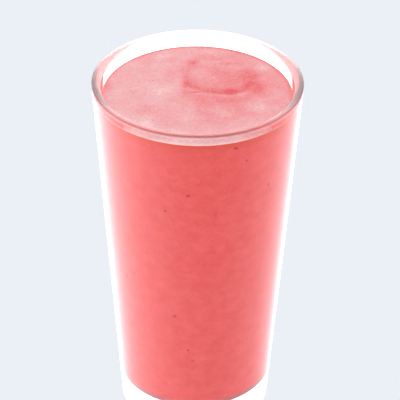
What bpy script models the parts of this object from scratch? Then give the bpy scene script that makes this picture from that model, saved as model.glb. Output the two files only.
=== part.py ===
"""A strawberry frappe in the tall tapered tumbler that holds it.

Metres, +Z up. The origin is the middle of the tumbler's foot, on the plane that it stands on,
and the whole is turned about the Z axis. The frappe is one solid that fills the tumbler to a
few millimetres under the lip. Its top keeps the low swirl and lumps that pouring leaves.
"""

import math
import random

import bmesh
import bpy

# Driving sizes of the tumbler.
HEIGHT = 0.152
LIP_RADIUS = 0.041
FOOT_RADIUS = 0.0304
WALL = 0.0042
LIP_WALL = 0.0032
LIP_DEPTH = 0.0080
BASE_THICKNESS = 0.0138

# Rounded edges of the tumbler. The lip is ground: softly rounded inside, with a crisp outer edge.
LIP_INNER_ROUND = 0.0026
LIP_OUTER_ROUND = 0.0004
HEEL_RADIUS = 0.0028
CORNER_RADIUS = 0.0028
PUNT_RADIUS = 0.0225
PUNT_DEPTH = 0.0014

# The frappe inside it.
FILL_DEPTH = 0.0056
CLEARANCE = 0.0003
EDGE_ROUND = 0.0008
DOME_HEIGHT = 0.0004

# The dimple that the last of the pour leaves in the top: a round groove with a raised brim
# outside it, both deepest on the side that it faces. BRIM_OFFSET is in groove bands.
SWIRL_CENTRE = (0.0088, 0.0140)
SWIRL_RADIUS = 0.0138
SWIRL_BAND = 0.0030
SWIRL_DEPTH = 0.0008
SWIRL_FACING = math.radians(240)
SWIRL_EVENNESS = 0.55
BRIM_SHARE = 0.6
BRIM_OFFSET = 1.5

# Low lumps of crushed ice and fruit under the skin of the top.
LUMP_SEED = 11
LUMP_COUNT = 26
LUMP_REACH = 0.86
LUMP_RADIUS = (0.0030, 0.0065)
LUMP_HEIGHT = (-0.00025, 0.00035)

# Share of the top's radius over which its relief dies away at the wall.
CALM_EDGE = 0.25

# How finely the round shapes are cut.
SEGMENTS = 72
ARC_STEPS = 5
LIP_EDGE_STEPS = 2
TOP_RINGS = 14
SMOOTH_UNDER = math.radians(35)


def clear_scene():
    """Removes every object of the scene that the script starts in."""
    for found in list(bpy.data.objects):
        bpy.data.objects.remove(found)


def make_material(name, colour, roughness, transmission=0.0):
    """A Principled material for one sub-part."""
    material = bpy.data.materials.new(name)
    material.use_nodes = True
    shader = material.node_tree.nodes["Principled BSDF"]
    shader.inputs["Base Color"].default_value = (*colour, 1.0)
    shader.inputs["Roughness"].default_value = roughness
    shader.inputs["Metallic"].default_value = 0.0
    shader.inputs["Transmission Weight"].default_value = transmission
    return material


def outer_radius(z):
    """Radius of the tumbler's straight outer side at height z."""
    return FOOT_RADIUS + (LIP_RADIUS - FOOT_RADIUS) * z / HEIGHT


def wall_at(z):
    """Thickness of the side wall at height z: it thins a little towards the lip."""
    below_lip = min(1.0, (HEIGHT - z) / LIP_DEPTH)
    return LIP_WALL + (WALL - LIP_WALL) * below_lip


def inner_radius(z):
    """Radius of the tumbler's inner side at height z."""
    return outer_radius(z) - wall_at(z)


def arc(centre, radius, start, end, steps=ARC_STEPS):
    """Points on an arc in the (radius, height) plane, angles in degrees, both ends kept."""
    points = []
    for step in range(steps + 1):
        angle = math.radians(start + (end - start) * step / steps)
        points.append((centre[0] + radius * math.cos(angle), centre[1] + radius * math.sin(angle)))
    return points


def cavity_profile(gap, top):
    """The inner floor, its rounded corner and the inner side up to height top, all moved in by gap."""
    floor = BASE_THICKNESS + gap
    corner_z = floor + CORNER_RADIUS
    corner_r = inner_radius(corner_z) - gap - CORNER_RADIUS
    points = [(0.0, floor)]
    points += arc((corner_r, corner_z), CORNER_RADIUS, -90, 0)
    for z in (HEIGHT - LIP_DEPTH, top):
        points.append((inner_radius(z) - gap, z))
    return points


def tumbler_profile():
    """The tumbler's section, from the inner floor over the lip and down to the middle of the foot."""
    inner_z = HEIGHT - LIP_INNER_ROUND
    outer_z = HEIGHT - LIP_OUTER_ROUND
    profile = cavity_profile(0.0, inner_z)
    profile += arc((inner_radius(inner_z) + LIP_INNER_ROUND, inner_z), LIP_INNER_ROUND, 180, 90)[1:]
    profile += arc((outer_radius(outer_z) - LIP_OUTER_ROUND, outer_z), LIP_OUTER_ROUND, 90, 0, LIP_EDGE_STEPS)
    heel_r = outer_radius(HEEL_RADIUS) - HEEL_RADIUS
    profile += arc((heel_r, HEEL_RADIUS), HEEL_RADIUS, 0, -90)
    for step in range(ARC_STEPS + 1):
        share = step / ARC_STEPS
        profile.append((PUNT_RADIUS * (1 - share), PUNT_DEPTH * math.sin(share * math.pi / 2)))
    return profile


def make_tumbler():
    """The clear tumbler: one turned body with a rounded lip, a thick foot and a shallow punt."""
    mesh = bpy.data.meshes.new("glass_tumbler")
    points = tumbler_profile()
    edges = [(index, index + 1) for index in range(len(points) - 1)]
    mesh.from_pydata([(radius, 0.0, z) for radius, z in points], edges, [])
    tumbler = bpy.data.objects.new("glass_tumbler", mesh)
    bpy.context.scene.collection.objects.link(tumbler)
    turn = tumbler.modifiers.new("turned_section", "SCREW")
    turn.axis = "Z"
    turn.angle = math.tau
    turn.steps = SEGMENTS
    turn.render_steps = SEGMENTS
    turn.use_merge_vertices = True
    turn.merge_threshold = 0.00001
    turn.use_smooth_shade = True
    mesh.materials.append(make_material("clear_glass", (0.95, 0.97, 0.97), 0.02, 1.0))
    return tumbler


def make_lumps():
    """Places, sizes and heights of the low lumps, the same on every run."""
    draw = random.Random(LUMP_SEED)
    reach = LUMP_REACH * inner_radius(HEIGHT - FILL_DEPTH)
    lumps = []
    for _ in range(LUMP_COUNT):
        distance = reach * math.sqrt(draw.random())
        angle = math.tau * draw.random()
        size = draw.uniform(*LUMP_RADIUS)
        height = draw.uniform(*LUMP_HEIGHT)
        lumps.append((distance * math.cos(angle), distance * math.sin(angle), size, height))
    return lumps


def swirl_height(x, y):
    """Height of the pour's dimple: a groove round it, deepest on the side that it faces."""
    across = x - SWIRL_CENTRE[0]
    along = y - SWIRL_CENTRE[1]
    from_groove = (math.hypot(across, along) - SWIRL_RADIUS) / SWIRL_BAND
    turn = math.atan2(along, across) - SWIRL_FACING
    share = SWIRL_EVENNESS + (1 - SWIRL_EVENNESS) * math.cos(turn)
    groove = -math.exp(-from_groove**2)
    brim = BRIM_SHARE * math.exp(-((from_groove - BRIM_OFFSET) ** 2))
    return SWIRL_DEPTH * share * (groove + brim)


def top_height(x, y, rim, lumps):
    """Height of the frappe's top over its edge at (x, y), flat at the wall that holds it."""
    share = math.hypot(x, y) / rim
    height = DOME_HEIGHT * (1 - share**2) + swirl_height(x, y)
    for lump_x, lump_y, size, lift in lumps:
        height += lift * math.exp(-((x - lump_x) ** 2 + (y - lump_y) ** 2) / size**2)
    return height * min(1.0, (1 - share) / CALM_EDGE)


def add_ring(bm, radius, z_of):
    """One ring of points round the axis, with its height from z_of."""
    ring = []
    for step in range(SEGMENTS):
        angle = math.tau * step / SEGMENTS
        x = radius * math.cos(angle)
        y = radius * math.sin(angle)
        ring.append(bm.verts.new((x, y, z_of(x, y))))
    return ring


def join_rings(bm, lower, upper):
    """The band of faces between two rings, facing away from the axis when upper is above lower."""
    for step in range(SEGMENTS):
        after = (step + 1) % SEGMENTS
        bm.faces.new((lower[step], lower[after], upper[after], upper[step]))


def close_ring(bm, ring, z, facing_up):
    """A fan of faces from a ring to a point on the axis."""
    middle = bm.verts.new((0.0, 0.0, z))
    for step in range(SEGMENTS):
        after = (step + 1) % SEGMENTS
        corners = (ring[step], ring[after], middle)
        bm.faces.new(corners if facing_up else corners[::-1])


def make_frappe():
    """The frappe: a solid that fills the tumbler, with its poured top."""
    level = HEIGHT - FILL_DEPTH
    side = cavity_profile(CLEARANCE, level - EDGE_ROUND)
    rim = side[-1][0]
    lumps = make_lumps()
    bm = bmesh.new()
    rings = [add_ring(bm, radius, lambda x, y, z=z: z) for radius, z in side[1:]]
    for radius, z in arc((rim - EDGE_ROUND, level - EDGE_ROUND), EDGE_ROUND, 45, 90, 1):
        rings.append(add_ring(bm, radius, lambda x, y, z=z: z))
    top_rim = rim - EDGE_ROUND
    for step in range(1, TOP_RINGS):
        radius = top_rim * (1 - step / TOP_RINGS)
        rings.append(add_ring(bm, radius, lambda x, y: level + top_height(x, y, top_rim, lumps)))
    close_ring(bm, rings[0], side[0][1], facing_up=False)
    for lower, upper in zip(rings, rings[1:]):
        join_rings(bm, lower, upper)
    close_ring(bm, rings[-1], level + top_height(0.0, 0.0, top_rim, lumps), facing_up=True)
    mesh = bpy.data.meshes.new("frappe")
    bm.to_mesh(mesh)
    bm.free()
    mesh.shade_smooth()
    mesh.set_sharp_from_angle(angle=SMOOTH_UNDER)
    mesh.materials.append(make_material("strawberry_frappe", (0.90, 0.24, 0.25), 0.45))
    frappe = bpy.data.objects.new("frappe", mesh)
    bpy.context.scene.collection.objects.link(frappe)
    return frappe


def main():
    """Builds the tumbler and the frappe that fills it."""
    clear_scene()
    make_tumbler()
    make_frappe()


main()
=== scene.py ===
"""Looks of a strawberry frappe in its clear tumbler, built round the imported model.

Metres, +Z up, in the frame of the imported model: the origin is the middle of the tumbler's foot.
The tumbler is turned by Geometry Nodes from its section. The frappe is one mesh with a poured
top, and seeds, pulp and froth are scattered over it by Geometry Nodes and made plain meshes.
"""

from __future__ import annotations

import logging
import math
import random
from dataclasses import dataclass, field
from enum import Enum

import bmesh
import bpy
from mathutils import Matrix, Vector, noise


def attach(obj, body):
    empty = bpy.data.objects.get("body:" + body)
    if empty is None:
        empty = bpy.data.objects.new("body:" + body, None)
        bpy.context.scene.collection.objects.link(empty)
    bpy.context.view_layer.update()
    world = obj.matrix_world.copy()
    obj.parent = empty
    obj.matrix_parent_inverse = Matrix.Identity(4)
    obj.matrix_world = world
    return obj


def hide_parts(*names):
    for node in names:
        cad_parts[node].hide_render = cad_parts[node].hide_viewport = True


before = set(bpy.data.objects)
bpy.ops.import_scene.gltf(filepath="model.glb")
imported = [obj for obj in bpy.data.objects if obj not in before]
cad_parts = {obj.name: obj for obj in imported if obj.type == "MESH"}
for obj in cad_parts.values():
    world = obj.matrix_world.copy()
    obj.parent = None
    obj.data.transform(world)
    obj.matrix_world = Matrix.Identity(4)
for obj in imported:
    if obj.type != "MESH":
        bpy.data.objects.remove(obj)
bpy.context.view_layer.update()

MM = 0.001
LOG = logging.getLogger("frappe")

# What can feed a node's input: another node's output, or a plain value.
Source = bpy.types.NodeSocket | float | tuple[float, ...]


def linear(hex_colour: str) -> tuple[float, float, float, float]:
    """Turns an sRGB hex colour to linear.

    Args:
        hex_colour: Six hex digits, such as "EBF0F6".

    Returns:
        Linear red, green and blue, and an alpha of 1.
    """
    channels = []
    for start in (0, 2, 4):
        value = int(hex_colour[start : start + 2], 16) / 255
        channels.append(value / 12.92 if value <= 0.04045 else ((value + 0.055) / 1.055) ** 2.4)
    return (*channels, 1.0)


def feed(tree: bpy.types.NodeTree, node: bpy.types.Node, sources: dict[str | int, Source]) -> None:
    """Feeds a node's inputs.

    Args:
        tree: The tree that the node is in.
        node: The node.
        sources: For each input, by its name or number, the output socket or the plain value.
    """
    for name, source in sources.items():
        if isinstance(source, bpy.types.NodeSocket):
            tree.links.new(source, node.inputs[name])
        else:
            node.inputs[name].default_value = source


def add_node(
    tree: bpy.types.NodeTree,
    kind: str,
    settings: dict[str | int, object] | None = None,
    links: dict[str | int, Source] | None = None,
) -> bpy.types.Node:
    """Adds a node to a tree with its settings and links.

    Args:
        tree: The shader or geometry tree.
        kind: The node's type, such as "ShaderNodeMath".
        settings: Values by name. A lower-case name is a property of the node, and any other
            name, or a number, is an input's default value.
        links: What feeds each input, by its name or number: an output socket or a plain value.

    Returns:
        The new node.
    """
    node = tree.nodes.new(kind)
    for name, value in (settings or {}).items():
        if isinstance(name, str) and name[0].islower():
            setattr(node, name, value)
        else:
            node.inputs[name].default_value = value
    feed(tree, node, links or {})
    return node


def new_material(name: str) -> tuple[bpy.types.Material, bpy.types.NodeTree, bpy.types.Node]:
    """Makes an empty node material.

    Args:
        name: The material's name.

    Returns:
        The material, its tree and its output node.
    """
    material = bpy.data.materials.new(name)
    material.use_nodes = True
    tree = material.node_tree
    tree.nodes.clear()
    return material, tree, add_node(tree, "ShaderNodeOutputMaterial")


def new_object(name: str, mesh: bpy.types.Mesh) -> bpy.types.Object:
    """Puts a mesh in the scene as an object at the origin."""
    made = bpy.data.objects.new(name, mesh)
    bpy.context.scene.collection.objects.link(made)
    return made


def settle(made: bpy.types.Object) -> None:
    """Turns what an object's modifiers make into its plain mesh, and takes the modifiers off."""
    depsgraph = bpy.context.evaluated_depsgraph_get()
    mesh = bpy.data.meshes.new_from_object(
        made.evaluated_get(depsgraph), preserve_all_data_layers=True, depsgraph=depsgraph
    )
    made.modifiers.clear()
    made.data = mesh


class Socket(Enum):
    """Kinds of named input that a Geometry Nodes tree takes."""

    GEOMETRY = "NodeSocketGeometry"
    SIZE = "NodeSocketFloat"
    COUNT = "NodeSocketInt"
    FINISH = "NodeSocketMaterial"


def sizes(part: object, *labels: str) -> dict[str, tuple[Socket, float]]:
    """Makes inputs of a part's sizes: "Lip Wall" takes the value of its field lip_wall."""
    names = {label: label.lower().replace(" ", "_") for label in labels}
    return {label: (Socket.SIZE, getattr(part, name)) for label, name in names.items()}


class GeometryTree:
    """A Geometry Nodes tree with named inputs, and the modifier that runs it on an object."""

    def __init__(self, name: str, inputs: dict[str, tuple[Socket, object]]) -> None:
        """Makes the tree.

        Args:
            name: The tree's name.
            inputs: Each named input's kind and value.
        """
        self.tree = bpy.data.node_groups.new(name, "GeometryNodeTree")
        self.values = {}
        face = self.tree.interface
        face.new_socket(name="Geometry", in_out="OUTPUT", socket_type=Socket.GEOMETRY.value)
        face.new_socket(name="Geometry", in_out="INPUT", socket_type=Socket.GEOMETRY.value)
        for label, (kind, value) in inputs.items():
            item = face.new_socket(name=label, in_out="INPUT", socket_type=kind.value)
            self.values[item.identifier] = value
        self.given = add_node(self.tree, "NodeGroupInput").outputs

    def add(
        self,
        kind: str,
        settings: dict[str | int, object] | None = None,
        links: dict[str | int, Source] | None = None,
    ) -> bpy.types.Node:
        """Adds a node to this tree, as add_node does."""
        return add_node(self.tree, kind, settings, links)

    def close(self, shape: bpy.types.NodeSocket) -> None:
        """Ends the tree: shaded smooth, instances made real, and the input "Finish" set.

        Args:
            shape: The socket with the geometry.
        """
        smooth = self.add("GeometryNodeSetShadeSmooth", links={"Geometry": shape})
        real = self.add("GeometryNodeRealizeInstances", links={"Geometry": smooth.outputs[0]})
        dressed = self.add(
            "GeometryNodeSetMaterial",
            links={"Geometry": real.outputs[0], "Material": self.given["Finish"]},
        )
        self.add("NodeGroupOutput", links={"Geometry": dressed.outputs[0]})

    def run_on(self, made: bpy.types.Object) -> None:
        """Runs the tree on an object and keeps the result as its plain mesh."""
        modifier = made.modifiers.new(self.tree.name, "NODES")
        modifier.node_group = self.tree
        for identifier, value in self.values.items():
            modifier[identifier] = value
        settle(made)


@dataclass(frozen=True)
class SodaLimeGlass:
    """Fire-polished soda-lime glass with a ground rim and a fine stipple underfoot.

    It is clear and almost colourless. The eye finds it by bright and dark lines at its edges,
    where it bends what stands behind it. The ground rim looks soft, and a thin grey line of
    painted shade runs round its outer edge, standing in for the dark line that the bent light
    makes there. The stippled foot looks white and hides the table.
    """

    name: str = "soda_lime_glass_fire_polished"
    colour: str = "FCFEFD"
    refraction: float = 1.5
    stipple: float = 0.7
    stipple_top: float = 1.6 * MM
    stipple_fade: float = 0.32 * MM
    rim_grind: float = 0.6
    rim_line: float = 150.5 * MM
    rim_fade: float = 0.4 * MM
    painted_rim_shade: str = "A29A9E"
    edge_line: float = 151.2 * MM
    edge_radius: float = 40.45 * MM
    edge_fade: float = 0.2 * MM

    def make(self) -> bpy.types.Material:
        """Makes the material: clear glass that lets the light through to the drink.

        Returns:
            The glass, rough at the foot and the rim, with grey painted shade at the rim's outer
            edge.
        """
        material, tree, output = new_material(self.name)
        place = add_node(tree, "ShaderNodeTexCoord").outputs["Object"]
        height = add_node(tree, "ShaderNodeSeparateXYZ", links={0: place}).outputs["Z"]
        foot = add_node(
            tree,
            "ShaderNodeMapRange",
            {
                "From Min": self.stipple_top,
                "From Max": self.stipple_top + self.stipple_fade,
                "To Min": self.stipple,
                "To Max": 0.0,
            },
            {"Value": height},
        )
        rim = add_node(
            tree,
            "ShaderNodeMapRange",
            {
                "From Min": self.rim_line - self.rim_fade,
                "From Max": self.rim_line,
                "To Max": self.rim_grind,
            },
            {"Value": height},
        )
        rough = add_node(
            tree,
            "ShaderNodeMath",
            {"operation": "MAXIMUM"},
            {0: foot.outputs[0], 1: rim.outputs[0]},
        )
        flat = add_node(
            tree, "ShaderNodeVectorMath", {"operation": "MULTIPLY", 1: (1.0, 1.0, 0.0)}, {0: place}
        )
        radius = add_node(
            tree, "ShaderNodeVectorMath", {"operation": "LENGTH"}, {0: flat.outputs[0]}
        )
        high = add_node(
            tree,
            "ShaderNodeMapRange",
            {"From Min": self.edge_line, "From Max": self.edge_line + self.edge_fade},
            {"Value": height},
        )
        wide = add_node(
            tree,
            "ShaderNodeMapRange",
            {"From Min": self.edge_radius, "From Max": self.edge_radius + self.edge_fade / 2},
            {"Value": radius.outputs["Value"]},
        )
        edge = add_node(
            tree,
            "ShaderNodeMath",
            {"operation": "MULTIPLY"},
            {0: high.outputs[0], 1: wide.outputs[0]},
        )
        # Painted shade: a thin grey band at the rim's outer edge stands in for the dark line that
        # the bent light makes there.
        tint = add_node(
            tree,
            "ShaderNodeMix",
            {"data_type": "RGBA", 6: linear(self.colour), 7: linear(self.painted_rim_shade)},
            {0: edge.outputs[0]},
        )
        glass = add_node(
            tree,
            "ShaderNodeBsdfPrincipled",
            {"Transmission Weight": 1.0, "IOR": self.refraction},
            {"Base Color": tint.outputs[2], "Roughness": rough.outputs[0]},
        )
        clear = add_node(tree, "ShaderNodeBsdfTransparent")
        rays = add_node(tree, "ShaderNodeLightPath")
        shaded = glass.outputs[0]
        for kind in ("Is Shadow Ray", "Is Diffuse Ray"):
            through = add_node(
                tree,
                "ShaderNodeMixShader",
                links={0: rays.outputs[kind], 1: shaded, 2: clear.outputs[0]},
            )
            shaded = through.outputs[0]
        tree.links.new(shaded, output.inputs["Surface"])
        return material


@dataclass(frozen=True)
class BlendedStrawberry:
    """Strawberries blended with milk and ice, thick enough to hold a poured swirl.

    The body is a dense coral pink. The top is paler where fine froth lies on it, and redder
    where juice gathers in the swirl and where shade is painted on it. Its juice attribute, which
    also carries painted shade and painted highlight, is 1 where the top is reddest, and its
    attribute "froth" is 1 on the frothy top.
    """

    name: str = "blended_strawberry_and_milk"
    body: str = "F46C6B"
    deep: str = "E95554"
    fruit: str = "E65C48"
    foam: str = "F4C6C6"
    froth: str = "E9ABAE"
    middle: str = "E88B8E"
    juice_and_painted_light: str = "E35D62"
    painted_floor_shade: str = "B88086"
    grain: float = 1.1 * MM
    streak: float = 5.0 * MM
    streak_flatness: float = 1.3
    side_freckle: float = 0.5
    top_freckle: float = 0.6
    fruit_line: float = 146.4 * MM
    fruit_band: float = 4.5 * MM
    floor_line: float = 15.1 * MM
    floor_band: float = 2.4 * MM
    band_share: float = 0.8
    froth_stop: float = 0.20
    middle_stop: float = 0.55

    def make(self) -> bpy.types.Material:
        """Makes the material from the froth attribute, the juice attribute with its painted shade
        and highlight, and two sizes of mottling.

        Returns:
            The drink: its blended body, redder under its edge, greyer with painted shade at its
                floor, and its top.
        """
        material, tree, output = new_material(self.name)
        place = add_node(tree, "ShaderNodeTexCoord").outputs["Object"]
        height = add_node(tree, "ShaderNodeSeparateXYZ", links={0: place}).outputs["Z"]
        froth = add_node(tree, "ShaderNodeAttribute", {"attribute_name": "froth"}).outputs["Fac"]
        juice_and_painted_light = add_node(tree, "ShaderNodeAttribute", {"attribute_name": "juice_and_painted_light"}).outputs["Fac"]
        flattened = add_node(
            tree,
            "ShaderNodeMapping",
            {"Scale": (1.0, 1.0, self.streak_flatness)},
            {"Vector": place},
        )
        streaks = add_node(
            tree,
            "ShaderNodeTexNoise",
            {"Scale": 1 / self.streak, "Detail": 4.0, "Roughness": 0.55},
            {"Vector": flattened.outputs[0]},
        )
        grains = add_node(
            tree, "ShaderNodeTexNoise", {"Scale": 1 / self.grain, "Detail": 3.0}, {"Vector": place}
        )
        freckles = add_node(
            tree, "ShaderNodeMath", {"operation": "SUBTRACT", 1: 0.5}, {0: grains.outputs["Fac"]}
        ).outputs[0]
        uneven = add_node(
            tree,
            "ShaderNodeMath",
            {"operation": "MULTIPLY_ADD", 1: self.side_freckle},
            {0: freckles, 2: streaks.outputs["Fac"]},
        )
        mottle = add_node(
            tree,
            "ShaderNodeMapRange",
            {"From Min": 0.15, "From Max": 0.85},
            {"Value": uneven.outputs[0]},
        )
        blended = add_node(
            tree,
            "ShaderNodeMix",
            {"data_type": "RGBA", 6: linear(self.body), 7: linear(self.deep)},
            {0: mottle.outputs[0]},
        )
        bands = {
            self.fruit: {
                "interpolation_type": "SMOOTHSTEP",
                "From Min": self.fruit_line - self.fruit_band,
                "From Max": self.fruit_line,
                "To Max": self.band_share,
            },
            # Painted shade: the body turns greyer just above the floor's corner, standing in for
            # the shadow line where the drink meets the glass.
            self.painted_floor_shade: {
                "From Min": self.floor_line,
                "From Max": self.floor_line + self.floor_band,
                "To Min": self.band_share,
                "To Max": 0.0,
            },
        }
        body = blended.outputs[2]
        for colour, settings in bands.items():
            share = add_node(tree, "ShaderNodeMapRange", settings, {"Value": height}).outputs[0]
            body = add_node(
                tree, "ShaderNodeMix", {"data_type": "RGBA", 7: linear(colour)}, {0: share, 6: body}
            ).outputs[2]
        uneven_juice = add_node(
            tree,
            "ShaderNodeMath",
            {"operation": "MULTIPLY_ADD", 1: self.top_freckle},
            {0: freckles, 2: juice_and_painted_light},
        )
        shades = add_node(tree, "ShaderNodeValToRGB", links={0: uneven_juice.outputs[0]})
        ramp = shades.color_ramp
        ramp.elements[0].color = linear(self.foam)
        ramp.elements[1].color = linear(self.juice_and_painted_light)
        ramp.elements.new(self.froth_stop).color = linear(self.froth)
        ramp.elements.new(self.middle_stop).color = linear(self.middle)
        topped = add_node(
            tree,
            "ShaderNodeMix",
            {"data_type": "RGBA"},
            {0: froth, 6: body, 7: shades.outputs[0]},
        )
        gloss = add_node(
            tree, "ShaderNodeMapRange", {"To Min": 0.85, "To Max": 0.38}, {"Value": froth}
        )
        relief = add_node(
            tree,
            "ShaderNodeBump",
            {"Strength": 0.35, "Distance": 0.12 * MM},
            {"Height": grains.outputs["Fac"]},
        )
        shader = add_node(
            tree,
            "ShaderNodeBsdfPrincipled",
            {
                "IOR": 1.35,
                "Subsurface Weight": 0.35,
                "Subsurface Radius": (1.0, 0.45, 0.40),
                "Subsurface Scale": 1.6 * MM,
            },
            {
                "Base Color": topped.outputs[2],
                "Roughness": gloss.outputs[0],
                "Normal": relief.outputs[0],
            },
        )
        tree.links.new(shader.outputs[0], output.inputs["Surface"])
        return material


@dataclass(frozen=True)
class SpeckSkin:
    """A small bit in the drink: a strawberry seed, a shred of its skin or a bubble of milk.

    A seed or a shred reads as a dot a little darker than the drink round it, and a bubble as a
    paler one.
    """

    name: str
    light: str
    dark: str
    roughness: float
    patch: float = 0.8 * MM

    def make(self) -> bpy.types.Material:
        """Makes the material.

        Returns:
            Two colours in soft patches, with one roughness all over.
        """
        material, tree, output = new_material(self.name)
        place = add_node(tree, "ShaderNodeTexCoord").outputs["Object"]
        patches = add_node(
            tree, "ShaderNodeTexNoise", {"Scale": 1 / self.patch, "Detail": 2.0}, {"Vector": place}
        )
        colour = add_node(
            tree,
            "ShaderNodeMix",
            {"data_type": "RGBA", 6: linear(self.light), 7: linear(self.dark)},
            {0: patches.outputs["Fac"]},
        )
        shader = add_node(
            tree,
            "ShaderNodeBsdfPrincipled",
            {"IOR": 1.45, "Roughness": self.roughness},
            {"Base Color": colour.outputs[2]},
        )
        tree.links.new(shader.outputs[0], output.inputs["Surface"])
        return material


@dataclass
class Tumbler:
    """The tall tapered tumbler, turned by Geometry Nodes from its section.

    Straight stretches start clear_of_round roundings away from a corner, and punt_middle is the
    share of the punt's radius at which its roof is flat.
    """

    height: float = 152.0 * MM
    lip_radius: float = 41.0 * MM
    foot_radius: float = 30.4 * MM
    wall: float = 4.2 * MM
    lip_wall: float = 3.2 * MM
    lip_depth: float = 8.0 * MM
    lip_inner_round: float = 2.6 * MM
    lip_outer_round: float = 0.4 * MM
    base: float = 13.8 * MM
    corner_round: float = 2.8 * MM
    heel_round: float = 2.8 * MM
    punt_radius: float = 22.5 * MM
    punt_depth: float = 1.4 * MM
    punt_middle: float = 0.55
    bend_round: float = 6.0 * MM
    clear_of_round: float = 1.6
    segments: int = 192
    round_steps: int = 12
    merge_within: float = 0.001 * MM

    def outer(self, z: float) -> float:
        """Radius of the straight outer side at height z."""
        return self.foot_radius + (self.lip_radius - self.foot_radius) * z / self.height

    def inner(self, z: float) -> float:
        """Radius of the inner side at height z: the wall thins a little towards the lip."""
        below_lip = min(1.0, (self.height - z) / self.lip_depth)
        return self.outer(z) - self.lip_wall - (self.wall - self.lip_wall) * below_lip

    def section(self, tree: GeometryTree) -> list[tuple[Source, Source, Source]]:
        """Lays out the section's corners inside the tree.

        Args:
            tree: The tree, with this tumbler's sizes as named inputs.

        Returns:
            For each corner its radius, height and rounding. They run from the inner floor over
            the lip and under the foot.
        """
        sums = [
            ("Spread", "SUBTRACT", "Lip Radius", "Foot Radius"),
            ("Bend", "SUBTRACT", "Height", "Lip Depth"),
            ("Middle", "MULTIPLY", "Height", 0.5),
            ("Corner Reach", "MULTIPLY", "Corner Round", self.clear_of_round),
            ("Above Corner", "ADD", "Base", "Corner Reach"),
            ("Above Heel", "MULTIPLY", "Heel Round", self.clear_of_round),
            ("Punt Round", "MULTIPLY", "Punt Depth", 2.0),
            ("Punt Middle", "MULTIPLY", "Punt Radius", self.punt_middle),
        ]
        # Each corner of a side: its name, height, distance inside the outer side and rounding.
        sides = (
            ("Inner Corner", "Base", "Wall", "Corner Round"),
            ("Inner Side Foot", "Above Corner", "Wall", 0.0),
            ("Inner Middle", "Middle", "Wall", 0.0),
            ("Inner Bend", "Bend", "Wall", "Bend Round"),
            ("Inner Lip", "Height", "Lip Wall", "Lip Inner Round"),
            ("Outer Lip", "Height", 0.0, "Lip Outer Round"),
            ("Outer Bend", "Bend", 0.0, 0.0),
            ("Outer Middle", "Middle", 0.0, 0.0),
            ("Outer Side Foot", "Above Heel", 0.0, 0.0),
            ("Heel", 0.0, 0.0, "Heel Round"),
        )
        for name, z, inset, _ in sides:
            sums += [
                (f"{name} Share", "DIVIDE", z, "Height"),
                (f"{name} Outside", "MULTIPLY_ADD", f"{name} Share", "Spread", "Foot Radius"),
                (name, "SUBTRACT", f"{name} Outside", inset),
            ]
        sums += [
            ("Floor Edge", "SUBTRACT", "Inner Corner", "Corner Reach"),
            ("Ring Edge", "SUBTRACT", "Heel", "Above Heel"),
        ]
        known = {socket.name: socket for socket in tree.given}
        for name, operation, *terms in sums:
            sources = {number: known.get(term, term) for number, term in enumerate(terms)}
            known[name] = tree.add("ShaderNodeMath", {"operation": operation}, sources).outputs[0]
        corners = (
            (0.0, "Base", 0.0),
            ("Floor Edge", "Base", 0.0),
            *((name, z, rounding) for name, z, _, rounding in sides),
            ("Ring Edge", 0.0, 0.0),
            ("Punt Radius", 0.0, "Punt Round"),
            ("Punt Middle", "Punt Depth", "Punt Radius"),
            (0.0, "Punt Depth", 0.0),
        )
        return [tuple(known.get(term, term) for term in corner) for corner in corners]

    def build(self, finish: bpy.types.Material) -> bpy.types.Object:
        """Turns the section round the axis.

        Args:
            finish: The glass.

        Returns:
            The tumbler, as one closed mesh.
        """
        tree = GeometryTree(
            "turned_tumbler",
            {
                **sizes(self, "Height", "Lip Radius", "Foot Radius", "Wall", "Lip Wall"),
                **sizes(self, "Lip Depth", "Lip Inner Round", "Lip Outer Round", "Base"),
                **sizes(self, "Corner Round", "Heel Round", "Punt Radius", "Punt Depth"),
                **sizes(self, "Bend Round"),
                "Segments": (Socket.COUNT, self.segments),
                "Round Steps": (Socket.COUNT, self.round_steps),
                "Finish": (Socket.FINISH, finish),
            },
        )
        corners = self.section(tree)
        places, rounds = self.pick_by_point(tree, corners)
        line = tree.add("GeometryNodeMeshLine", {"Count": len(corners)})
        laid = tree.add(
            "GeometryNodeSetPosition", links={"Geometry": line.outputs[0], "Position": places}
        )
        outline = tree.add("GeometryNodeMeshToCurve", links={"Mesh": laid.outputs[0]})
        rounded = tree.add(
            "GeometryNodeFilletCurve",
            {"mode": "POLY", "Limit Radius": True},
            {"Curve": outline.outputs[0], "Count": tree.given["Round Steps"], "Radius": rounds},
        )
        circle = tree.add(
            "GeometryNodeCurvePrimitiveCircle",
            links={"Resolution": tree.given["Segments"], "Radius": tree.given["Lip Radius"]},
        )
        upright = tree.add(
            "GeometryNodeSetCurveNormal", {"mode": "Z_UP"}, {"Curve": circle.outputs[0]}
        )
        turned = tree.add(
            "GeometryNodeCurveToMesh",
            links={"Curve": upright.outputs[0], "Profile Curve": rounded.outputs[0]},
        )
        merged = tree.add(
            "GeometryNodeMergeByDistance",
            {"Distance": self.merge_within},
            {"Geometry": turned.outputs[0]},
        )
        tree.close(merged.outputs[0])
        made = new_object("tumbler_clear_glass", bpy.data.meshes.new("tumbler_section"))
        tree.run_on(made)
        face_outwards(made.data)
        return made

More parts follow.
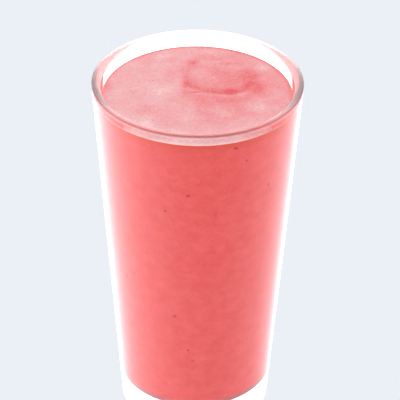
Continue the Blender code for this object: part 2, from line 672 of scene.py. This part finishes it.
    def pick_by_point(
        self, tree: GeometryTree, corners: list[tuple[Source, Source, Source]]
    ) -> list[bpy.types.NodeSocket]:
        """Gives each point of the section its corner's place and rounding.

        A place is measured from the circle that the section is swept along. The sweep turns the
        section's second axis downwards, so a height goes in below zero.

        Args:
            tree: The tree.
            corners: Each corner's radius, height and rounding.

        Returns:
            The sockets with a point's place and with its rounding.
        """
        places = []
        for radius, z, _ in corners:
            across = tree.add(
                "ShaderNodeMath",
                {"operation": "SUBTRACT"},
                {0: radius, 1: tree.given["Lip Radius"]},
            )
            below = tree.add("ShaderNodeMath", {"operation": "MULTIPLY", 1: -1.0}, {0: z})
            place = tree.add(
                "ShaderNodeCombineXYZ", links={"X": across.outputs[0], "Y": below.outputs[0]}
            )
            places.append(place.outputs[0])
        rounds = [rounding for _, _, rounding in corners]
        number = tree.add("GeometryNodeInputIndex").outputs[0]
        picked = []
        for kind, choices in (("VECTOR", places), ("FLOAT", rounds)):
            switch = tree.add("GeometryNodeIndexSwitch", {"data_type": kind}, {"Index": number})
            while len(switch.index_switch_items) < len(choices):
                switch.index_switch_items.new()
            feed(tree.tree, switch, dict(enumerate(choices, start=1)))
            picked.append(switch.outputs[0])
        return picked


def face_outwards(mesh: bpy.types.Mesh) -> None:
    """Makes every face of a closed mesh point outwards."""
    work = bmesh.new()
    work.from_mesh(mesh)
    bmesh.ops.recalc_face_normals(work, faces=work.faces)
    work.to_mesh(mesh)
    work.free()


@dataclass(frozen=True)
class Stain:
    """A redder (or, below zero, paler) patch of the frappe's top: place and reach in mm."""

    x: float
    y: float
    reach_x: float
    reach_y: float
    strength: float

    def at(self, x: float, y: float) -> float:
        """How strongly the patch tints the point (x, y), in metres."""
        across = (x / MM - self.x) / self.reach_x
        along = (y / MM - self.y) / self.reach_y
        return self.strength * math.exp(-(across**2) - along**2)


@dataclass
class Frappe:
    """The frappe: a full body that touches the glass all round, and a poured top."""

    glass: Tumbler
    fill_depth: float = 5.6 * MM
    reach_into_wall: float = 0.12 * MM
    meniscus: float = 0.2 * MM
    meniscus_share: float = 0.035
    froth_line: float = 0.25 * MM
    dome: float = 0.4 * MM
    calm_edge: float = 0.2
    swirl_centre: tuple[float, float] = (8.8 * MM, 14.0 * MM)
    swirl_radius: float = 13.8 * MM
    swirl_band: float = 2.6 * MM
    swirl_depth: float = 0.8 * MM
    swirl_facing: float = 240.0
    swirl_evenness: float = 0.55
    swirl_wobble: float = 1.2 * MM
    wobble_size: float = 11 * MM
    brim_share: float = 0.6
    brim_offset: float = 1.6
    lump_size: float = 9 * MM
    lump_height: float = 0.28 * MM
    grain_size: float = 1.6 * MM
    grain_height: float = 0.05 * MM
    segments: int = 288
    top_rings: int = 120
    side_rings: int = 90
    corner_steps: int = 12
    juice_all_over: float = 0.36
    painted_shade_to_right: float = 0.12
    juice_and_shade_in_groove: float = 0.30
    juice_in_hollows: float = 0.16
    juice_at_wall: float = 0.30
    front_froth_and_highlight: float = 0.60
    froth_ring: float = 1.2 * MM
    foam_reach: float = 9.0 * MM
    front_foam_and_highlight: float = 0.35
    front_from: float = 0.2
    stains: list[Stain] = field(
        default_factory=lambda: [
            # The first four stains lie on the swirl's dark marks: juice with painted shade of its
            # relief.
            Stain(-4.7, 5.5, 1.6, 3.4, 0.60),
            Stain(1.5, 0.3, 4.5, 1.3, 0.45),
            Stain(12.9, 1.9, 2.2, 1.5, 0.50),
            Stain(22.3, 4.0, 3.6, 4.2, 0.60),
            Stain(20.0, 12.5, 3.4, 5.5, 0.35),
            Stain(-1.6, 23.8, 1.8, 1.4, 0.40),
            Stain(7.5, 25.9, 3.0, 1.2, 0.25),
            Stain(13.0, 23.2, 4.5, 1.5, 0.30),
            Stain(9.5, 12.0, 12.0, 10.0, 0.24),
            Stain(3.0, -5.0, 9.0, 6.0, 0.16),
            Stain(14.0, -8.0, 13.0, 7.0, 0.10),
            Stain(-14.0, 0.0, 9.0, 7.0, -0.16),
            Stain(24.2, -10.6, 6.0, 3.2, -0.30),
            Stain(24.8, 19.9, 3.6, 3.4, -0.30),
            Stain(-35.0, 3.7, 1.6, 3.0, 0.25),
        ]
    )

    @property
    def level(self) -> float:
        """Height of the drink's edge."""
        return self.glass.height - self.fill_depth

    @property
    def rim(self) -> float:
        """Radius of the drink's top where it meets the glass."""
        return self.glass.inner(self.level) + self.reach_into_wall

    def swirl(self, x: float, y: float) -> tuple[float, float]:
        """The groove and brim that the last of the pour leaves.

        Args:
            x: Place across, in metres.
            y: Place away from the viewer, in metres.

        Returns:
            Its height, and how deep in the groove the point lies, from 0 to 1.
        """
        across, along = x - self.swirl_centre[0], y - self.swirl_centre[1]
        wobble = self.swirl_wobble * noise.noise(Vector((x, y, 0.0)) / self.wobble_size)
        from_groove = (math.hypot(across, along) - self.swirl_radius + wobble) / self.swirl_band
        turn = math.atan2(along, across) - math.radians(self.swirl_facing)
        share = self.swirl_evenness + (1 - self.swirl_evenness) * math.cos(turn)
        groove = math.exp(-(from_groove**2))
        brim = self.brim_share * math.exp(-((from_groove - self.brim_offset) ** 2))
        return self.swirl_depth * share * (brim - groove), share * groove

    def top(self, x: float, y: float) -> tuple[float, float]:
        """The frappe's top at one point.

        Args:
            x: Place across, in metres.
            y: Place away from the viewer, in metres.

        Returns:
            Its height over the drink's edge, and how much juice shows there, with painted shade and
            painted highlight added in.
        """
        share = min(1.0, math.hypot(x, y) / self.rim)
        point = Vector((x, y, 0.0))
        height, depth = self.swirl(x, y)
        lumps = noise.fractal(point / self.lump_size, 1.0, 2.1, 4)
        grain = noise.fractal(point / self.grain_size + Vector((7.0, 3.0, 1.0)), 1.0, 2.0, 2)
        height += self.dome * (1 - share**2)
        height += self.lump_height * lumps + self.grain_height * grain
        height *= min(1.0, (1 - share) / self.calm_edge)
        edge = max(0.0, 1 - (1 - share) / self.meniscus_share)
        height += self.meniscus * edge**2
        # Painted shade: the top turns redder towards the right, where less light falls on it.
        juice_and_painted_light = self.juice_all_over + self.painted_shade_to_right * x / self.rim
        # Redder in the swirl's groove: juice with painted shade of the relief.
        juice_and_painted_light += self.juice_and_shade_in_groove * depth - self.juice_in_hollows * lumps
        juice_and_painted_light += sum(stain.at(x, y) for stain in self.stains)
        from_wall = (1 - share) * self.rim
        in_front = max(0.0, -y / self.rim - self.front_from) / (1 - self.front_from)
        at_wall = math.exp(-((from_wall / self.froth_ring) ** 2))
        # Paler near the wall at the front only: froth with a painted highlight.
        juice_and_painted_light += (self.juice_at_wall - self.front_froth_and_highlight * in_front) * at_wall
        in_foam = math.exp(-((2 * from_wall / self.foam_reach - 1) ** 2))
        juice_and_painted_light -= self.front_foam_and_highlight * in_front * in_foam
        return height, min(1.0, max(0.0, juice_and_painted_light))

    def build(self, finish: bpy.types.Material) -> bpy.types.Object:
        """Builds the body and the poured top as one closed mesh.

        Args:
            finish: The frappe's material.

        Returns:
            The frappe, with its froth attribute and its juice attribute, which holds painted shade
            and highlight.
        """
        work = bmesh.new()
        layers = (work.verts.layers.float.new("froth"), work.verts.layers.float.new("juice_and_painted_light"))
        rings = []
        for radius, z, froth in self.side_profile():
            rings.append(self.add_ring(work, layers, radius, froth, z))
        for step in range(1, self.top_rings):
            rings.append(self.add_ring(work, layers, self.rim * (1 - step / self.top_rings), 1.0))
        for lower, upper in zip(rings, rings[1:]):
            for step in range(self.segments):
                after = (step + 1) % self.segments
                work.faces.new((lower[step], lower[after], upper[after], upper[step]))
        floor = work.verts.new((0.0, 0.0, self.glass.base - self.reach_into_wall))
        (peak,) = self.add_ring(work, layers, 0.0, 1.0)
        for step in range(self.segments):
            after = (step + 1) % self.segments
            work.faces.new((rings[0][after], rings[0][step], floor))
            work.faces.new((rings[-1][step], rings[-1][after], peak))
        mesh = bpy.data.meshes.new("frappe_poured")
        work.to_mesh(mesh)
        work.free()
        mesh.shade_smooth()
        mesh.materials.append(finish)
        return new_object("frappe_poured", mesh)

    def side_profile(self) -> list[tuple[float, float, float]]:
        """Works out the body's rings.

        Returns:
            Each ring's radius, height and froth, from the floor's corner up to the edge.
        """
        gap = self.reach_into_wall
        corner = self.glass.corner_round
        centre_z = self.glass.base - gap + corner
        centre_r = self.glass.inner(centre_z) + gap - corner
        points = []
        for step in range(self.corner_steps + 1):
            angle = math.radians(-90 + 90 * step / self.corner_steps)
            points.append(
                (centre_r + corner * math.cos(angle), centre_z + corner * math.sin(angle), 0.0)
            )
        edge = self.level + self.meniscus
        for step in range(1, self.side_rings + 1):
            z = centre_z + (edge - self.froth_line - centre_z) * step / self.side_rings
            points.append((self.glass.inner(z) + gap, z, 0.0))
        points.append((self.glass.inner(edge) + gap, edge, 1.0))
        return points

    def add_ring(
        self,
        work: bmesh.types.BMesh,
        layers: tuple,
        radius: float,
        froth: float,
        z: float | None = None,
    ) -> list[bmesh.types.BMVert]:
        """Adds one ring of points round the axis, or the one point on it.

        Args:
            work: The mesh being built.
            layers: The layers that hold a point's froth and juice.
            radius: The ring's radius, or 0 for the point on the axis.
            froth: How frothy the ring is.
            z: Its height on the side, or None for the poured top.

        Returns:
            The ring's points.
        """
        ring = []
        for step in range(self.segments if radius else 1):
            turn = math.tau * step / self.segments
            x, y = radius * math.cos(turn), radius * math.sin(turn)
            height, juice_and_painted_light = self.top(x, y)
            point = work.verts.new((x, y, self.level + height if z is None else z))
            point[layers[0]], point[layers[1]] = froth, juice_and_painted_light
            ring.append(point)
        return ring


class Zone(Enum):
    """Parts of the frappe's skin that bits lie on."""

    SIDE = "side"
    TOP_EDGE = "top edge"
    SPOTS = "given spots"


@dataclass
class Specks:
    """Small bits scattered over the frappe's skin by Geometry Nodes.

    The smallest bit has the share least of the full size. A face counts as side or top by how
    far its normal rises: under side_lean either way, or over top_lean.
    """

    name: str
    zone: Zone
    length: float
    width: float
    thickness: float
    seed: int
    spread: float = 0.0
    density: float = 0.0
    least: float = 0.6
    side_lean: float = 0.3
    top_lean: float = 0.5
    edge_from: float = 31.5 * MM
    edge_to: float = 35.6 * MM
    patch: float = 5.0 * MM
    crowd_share: float = 0.5
    segments: int = 8
    rings: int = 5

    def places(self, tree: GeometryTree) -> tuple[bpy.types.NodeSocket, bpy.types.NodeSocket]:
        """Finds the bits' places.

        Args:
            tree: The tree, with this kind's sizes as named inputs.

        Returns:
            The sockets with the points and with their turns.
        """
        given = tree.given
        place = tree.add("GeometryNodeInputPosition").outputs[0]
        outwards = tree.add(
            "ShaderNodeVectorMath", {"operation": "MULTIPLY", 1: (1.0, 1.0, 0.0)}, {0: place}
        ).outputs[0]
        if self.zone is Zone.SPOTS:
            facing = tree.add(
                "FunctionNodeAlignRotationToVector", {"axis": "Z"}, {"Vector": outwards}
            )
            dots = tree.add("GeometryNodeMeshToPoints", links={"Mesh": given["Geometry"]})
            return dots.outputs[0], facing.outputs[0]
        normal = tree.add("GeometryNodeInputNormal").outputs[0]
        upwards = tree.add("ShaderNodeSeparateXYZ", links={0: normal}).outputs["Z"]
        if self.zone is Zone.SIDE:
            chosen = tree.add(
                "ShaderNodeMath", {"operation": "COMPARE", 1: 0.0, 2: self.side_lean}, {0: upwards}
            )
        else:
            on_top = tree.add(
                "ShaderNodeMath", {"operation": "GREATER_THAN", 1: self.top_lean}, {0: upwards}
            )
            radius = tree.add(
                "ShaderNodeVectorMath", {"operation": "LENGTH"}, {0: outwards}
            ).outputs["Value"]
            chosen = tree.add(
                "ShaderNodeMath",
                {"operation": "MULTIPLY"},
                {0: self.likely_near_wall(tree, place, radius), 1: on_top.outputs[0]},
            )
        points = tree.add(
            "GeometryNodeDistributePointsOnFaces",
            {"distribute_method": "POISSON"},
            {
                "Mesh": given["Geometry"],
                "Distance Min": given["Spread"],
                "Density Max": given["Density"],
                "Density Factor": chosen.outputs[0],
                "Seed": given["Seed"],
            },
        )
        return points.outputs["Points"], points.outputs["Rotation"]

    def likely_near_wall(
        self, tree: GeometryTree, place: bpy.types.NodeSocket, radius: bpy.types.NodeSocket
    ) -> bpy.types.NodeSocket:
        """Finds how likely a bit is on the top: most of all near the wall, and in loose clusters.

        Args:
            tree: The tree.
            place: The socket with a place on the skin.
            radius: The socket with its distance from the axis.

        Returns:
            The socket with the likelihood, from 0 to 1.
        """
        near_wall = tree.add(
            "ShaderNodeMapRange",
            {"From Min": self.edge_from, "From Max": self.edge_to},
            {"Value": radius},
        )
        clusters = tree.add(
            "ShaderNodeTexNoise", {"Scale": 1 / self.patch, "Detail": 1.0}, {"Vector": place}
        )
        crowded = tree.add(
            "ShaderNodeMapRange",
            {"From Min": 0.5, "From Max": 0.8, "To Max": self.crowd_share},
            {"Value": clusters.outputs[0]},
        )
        likely = tree.add(
            "ShaderNodeMath",
            {"operation": "MAXIMUM"},
            {0: near_wall.outputs[0], 1: crowded.outputs[0]},
        )
        inside = tree.add(
            "ShaderNodeMath", {"operation": "LESS_THAN", 1: self.edge_to}, {0: radius}
        )
        return tree.add(
            "ShaderNodeMath",
            {"operation": "MULTIPLY"},
            {0: likely.outputs[0], 1: inside.outputs[0]},
        ).outputs[0]

    def build(self, skin: bpy.types.Mesh, finish: bpy.types.Material) -> bpy.types.Object:
        """Scatters the bits.

        Args:
            skin: The frappe's mesh, which the bits lie on, or a mesh with a point for each bit.
            finish: Their material.

        Returns:
            The bits, as one plain mesh.
        """
        tree = GeometryTree(
            self.name,
            {
                **sizes(self, "Length", "Width", "Thickness", "Spread", "Density"),
                "Seed": (Socket.COUNT, self.seed),
                "Finish": (Socket.FINISH, finish),
            },
        )
        given = tree.given
        points, rotation = self.places(tree)
        size = tree.add(
            "ShaderNodeCombineXYZ",
            links={"X": given["Length"], "Y": given["Width"], "Z": given["Thickness"]},
        )
        ball = tree.add(
            "GeometryNodeMeshUVSphere",
            {"Segments": self.segments, "Rings": self.rings, "Radius": 0.5},
        )
        bit = tree.add(
            "GeometryNodeTransform", links={"Geometry": ball.outputs[0], "Scale": size.outputs[0]}
        )
        grown = tree.add(
            "FunctionNodeRandomValue",
            {"data_type": "FLOAT", 2: self.least, 3: 1.0},
            {"Seed": given["Seed"]},
        )
        next_seed = tree.add("ShaderNodeMath", {"operation": "ADD", 1: 1.0}, {0: given["Seed"]})
        turn = tree.add(
            "FunctionNodeRandomValue",
            {"data_type": "FLOAT", 2: 0.0, 3: math.tau},
            {"Seed": next_seed.outputs[0]},
        )
        spin = tree.add("ShaderNodeCombineXYZ", links={"Z": turn.outputs[1]})
        turned = tree.add(
            "FunctionNodeRotateRotation",
            {"rotation_space": "LOCAL"},
            {"Rotation": rotation, "Rotate By": spin.outputs[0]},
        )
        placed = tree.add(
            "GeometryNodeInstanceOnPoints",
            links={
                "Points": points,
                "Instance": bit.outputs[0],
                "Rotation": turned.outputs[0],
                "Scale": grown.outputs[1],
            },
        )
        tree.close(placed.outputs[0])
        made = new_object(self.name, skin.copy())
        tree.run_on(made)
        return made


@dataclass
class SeedSpots:
    """Where strawberry seeds lie against the glass: a turn in degrees and a height in mm each."""

    frappe: Frappe
    front: tuple[tuple[float, float], ...] = (
        (-67.3, 143.7),
        (-60.0, 136.8),
        (-94.9, 123.0),
        (-109.2, 114.3),
        (-104.7, 62.2),
        (-95.0, 44.9),
        (-91.6, 39.4),
    )
    count: int = 30
    seed: int = 3
    turns: tuple[float, float] = (-45.0, 225.0)
    heights: tuple[float, float] = (22.0, 140.0)

    def mesh(self) -> bpy.types.Mesh:
        """Lays a point on the frappe's side for each seed: those in front, then a seeded draw.

        Returns:
            A mesh of those points alone.
        """
        draw = random.Random(self.seed)
        spots = list(self.front)
        for _ in range(self.count):
            spots.append((draw.uniform(*self.turns), draw.uniform(*self.heights)))
        points = []
        for turn, height in spots:
            z = height * MM
            radius = self.frappe.glass.inner(z) + self.frappe.reach_into_wall
            angle = math.radians(turn)
            points.append((radius * math.cos(angle), radius * math.sin(angle), z))
        mesh = bpy.data.meshes.new("seed_spots")
        mesh.from_pydata(points, [], [])
        return mesh


@dataclass
class PhotoCamera:
    """The photograph's point of view, from the ellipses of the lip and the side's taper."""

    glass: Tumbler
    picture_px: float = 400.0
    focal_px: float = 2016.0
    sensor: float = 36.0
    distance: float = 779 * MM
    lip_depression: float = 30.3
    lip_centre_px: tuple[float, float] = (197.7, 80.7)
    roll: float = 0.66

    def build(self) -> bpy.types.Object:
        """Sets up the camera and makes it the scene's.

        Returns:
            The camera.
        """
        data = bpy.data.cameras.new("photo_camera")
        data.sensor_width = self.sensor
        data.lens = self.focal_px / self.picture_px * self.sensor
        data.clip_start, data.clip_end = 0.01, 50.0
        eye = bpy.data.objects.new("photo_camera", data)
        bpy.context.scene.collection.objects.link(eye)
        roll = math.radians(self.roll)
        down = math.radians(self.lip_depression)
        lip = Vector(self.lip_centre_px) - Vector((self.picture_px, self.picture_px)) / 2
        across = lip.x * math.cos(roll) + lip.y * math.sin(roll)
        upwards = lip.x * math.sin(roll) - lip.y * math.cos(roll)
        eye.location = (
            -across / self.focal_px * self.distance,
            -self.distance * math.cos(down),
            self.glass.height + self.distance * math.sin(down),
        )
        pitch = math.pi / 2 - down - math.atan(upwards / self.focal_px)
        turned = Matrix.Rotation(pitch, 3, "X") @ Matrix.Rotation(roll, 3, "Z")
        eye.rotation_euler = turned.to_euler()
        bpy.context.scene.camera = eye
        return eye


@dataclass
class Studio:
    """The pale floor and the soft surroundings, which give all the light."""

    backdrop: str = "EBF0F6"
    table: str = "F5F7FC"
    floor_half: float = 6.0
    floor_drop: float = 0.3 * MM
    front_glow: float = 2.1
    back_glow: float = 1.65
    top_glow: float = -1.2
    table_glow: float = 1.8
    table_rise: float = 1.68
    table_lean: float = -0.45
    table_fill: float = 0.38
    table_near: float = 0.6
    table_near_reach: float = 0.25

    def build(self) -> None:
        """Builds the floor and the surroundings, and shows colours as they are."""
        self.build_floor()
        self.build_world()
        bpy.context.scene.view_settings.view_transform = "Standard"

    def build_floor(self) -> None:
        """Lays a wide pale floor just under the foot.

        The camera sees it in the backdrop's colour. The glass sees it glow, most behind the
        drink and near it, and it throws table_fill of that glow on the drink.
        """
        half, z = self.floor_half, -self.floor_drop
        mesh = bpy.data.meshes.new("floor")
        corners = [(-half, -half, z), (half, -half, z), (half, half, z), (-half, half, z)]
        mesh.from_pydata(corners, [], [(0, 1, 2, 3)])
        material, tree, output = new_material("pale_floor")
        place = add_node(tree, "ShaderNodeTexCoord").outputs["Object"]
        towards = add_node(tree, "ShaderNodeVectorMath", {"operation": "NORMALIZE"}, {0: place})
        slope = add_node(
            tree,
            "ShaderNodeVectorMath",
            {"operation": "DOT_PRODUCT", 1: (self.table_lean, self.table_rise, 0.0)},
            {0: towards.outputs[0]},
        )
        away = add_node(tree, "ShaderNodeVectorMath", {"operation": "LENGTH"}, {0: place})
        near = add_node(
            tree,
            "ShaderNodeMapRange",
            {
                "From Max": self.table_near_reach,
                "To Min": self.table_glow + self.table_near,
                "To Max": self.table_glow,
            },
            {"Value": away.outputs["Value"]},
        )
        glow = add_node(
            tree,
            "ShaderNodeMath",
            {"operation": "ADD"},
            {0: slope.outputs["Value"], 1: near.outputs[0]},
        )
        rays = add_node(tree, "ShaderNodeLightPath")
        share = add_node(
            tree,
            "ShaderNodeMapRange",
            {"To Min": 1.0, "To Max": self.table_fill},
            {"Value": rays.outputs["Is Diffuse Ray"]},
        )
        strength = add_node(
            tree,
            "ShaderNodeMath",
            {"operation": "MULTIPLY"},
            {0: glow.outputs[0], 1: share.outputs[0]},
        )
        table = add_node(
            tree,
            "ShaderNodeEmission",
            {"Color": linear(self.table)},
            {"Strength": strength.outputs[0]},
        )
        seen = add_node(tree, "ShaderNodeEmission", {"Color": linear(self.backdrop)})
        shown = add_node(
            tree,
            "ShaderNodeMixShader",
            links={0: rays.outputs["Is Camera Ray"], 1: table.outputs[0], 2: seen.outputs[0]},
        )
        tree.links.new(shown.outputs[0], output.inputs["Surface"])
        mesh.materials.append(material)
        new_object("floor", mesh)

    def build_world(self) -> None:
        """Makes the surroundings: the backdrop's colour to the camera, soft white to the rest."""
        world = bpy.data.worlds.new("soft_surroundings")
        bpy.context.scene.world = world
        world.use_nodes = True
        tree = world.node_tree
        tree.nodes.clear()
        direction = add_node(tree, "ShaderNodeTexCoord").outputs["Generated"]
        facing = add_node(tree, "ShaderNodeSeparateXYZ", links={0: direction})
        behind = add_node(
            tree,
            "ShaderNodeMapRange",
            {
                "interpolation_type": "SMOOTHSTEP",
                "From Min": -0.5,
                "From Max": 0.7,
                "To Min": self.front_glow,
                "To Max": self.back_glow,
            },
            {"Value": facing.outputs["Y"]},
        )
        above = add_node(
            tree,
            "ShaderNodeMapRange",
            {
                "interpolation_type": "SMOOTHSTEP",
                "From Min": 0.2,
                "From Max": 0.9,
                "To Max": self.top_glow,
            },
            {"Value": facing.outputs["Z"]},
        )
        total = add_node(
            tree,
            "ShaderNodeMath",
            {"operation": "ADD"},
            {0: behind.outputs[0], 1: above.outputs[0]},
        )
        soft = add_node(
            tree,
            "ShaderNodeBackground",
            {"Color": (1.0, 1.0, 1.0, 1.0)},
            {"Strength": total.outputs[0]},
        )
        plain = add_node(tree, "ShaderNodeBackground", {"Color": linear(self.backdrop)})
        rays = add_node(tree, "ShaderNodeLightPath")
        shown = add_node(
            tree,
            "ShaderNodeMixShader",
            links={0: rays.outputs["Is Camera Ray"], 1: soft.outputs[0], 2: plain.outputs[0]},
        )
        output = add_node(tree, "ShaderNodeOutputWorld")
        tree.links.new(shown.outputs[0], output.inputs["Surface"])


def place_piece(piece: bpy.types.Object, slot: str, *nodes: str) -> None:
    """Parents a finished piece to the root body and hides the CAD nodes that it replaces.

    Args:
        piece: The piece.
        slot: The record's material slot; not used.
        nodes: The CAD nodes that it replaces.
    """
    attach(piece, "root")
    if nodes:
        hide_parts(*nodes)
    LOG.info("%s: %d faces", piece.name, len(piece.data.polygons))


def main() -> None:
    """Builds the drink, the glass and the studio in order."""
    logging.basicConfig(level=logging.INFO, format="%(name)s %(message)s")
    tumbler = Tumbler()
    frappe = Frappe(tumbler)
    drink = frappe.build(BlendedStrawberry().make())
    place_piece(drink, "strawberry_frappe", "frappe")
    glass = tumbler.build(SodaLimeGlass().make())
    place_piece(glass, "clear_glass", "glass_tumbler")
    seeds = Specks(
        name="strawberry_seeds",
        zone=Zone.SPOTS,
        length=1.9 * MM,
        width=1.4 * MM,
        thickness=0.5 * MM,
        seed=4,
    )
    husk = SpeckSkin("wet_seed_husk", light="D84244", dark="C6383C", roughness=0.5)
    place_piece(seeds.build(SeedSpots(frappe).mesh(), husk.make()), "strawberry_frappe")
    pulp = Specks(
        name="pulp_shreds",
        zone=Zone.SIDE,
        length=1.7 * MM,
        width=0.9 * MM,
        thickness=0.4 * MM,
        seed=9,
        spread=2.8 * MM,
        density=30000.0,
    )
    shred = SpeckSkin("wet_fruit_shred", light="F06A6C", dark="E6585C", roughness=0.5)
    place_piece(pulp.build(drink.data, shred.make()), "strawberry_frappe")
    bubbles = Specks(
        name="froth_bubbles",
        zone=Zone.TOP_EDGE,
        length=0.9 * MM,
        width=0.9 * MM,
        thickness=0.7 * MM,
        seed=5,
        spread=0.8 * MM,
        density=500000.0,
        least=0.35,
    )
    film = SpeckSkin("milk_bubble_film", light="F2BDBF", dark="E7A0A3", roughness=0.3)
    place_piece(bubbles.build(drink.data, film.make()), "strawberry_frappe")
    PhotoCamera(tumbler).build()
    Studio().build()


if __name__ == "__main__":
    main()
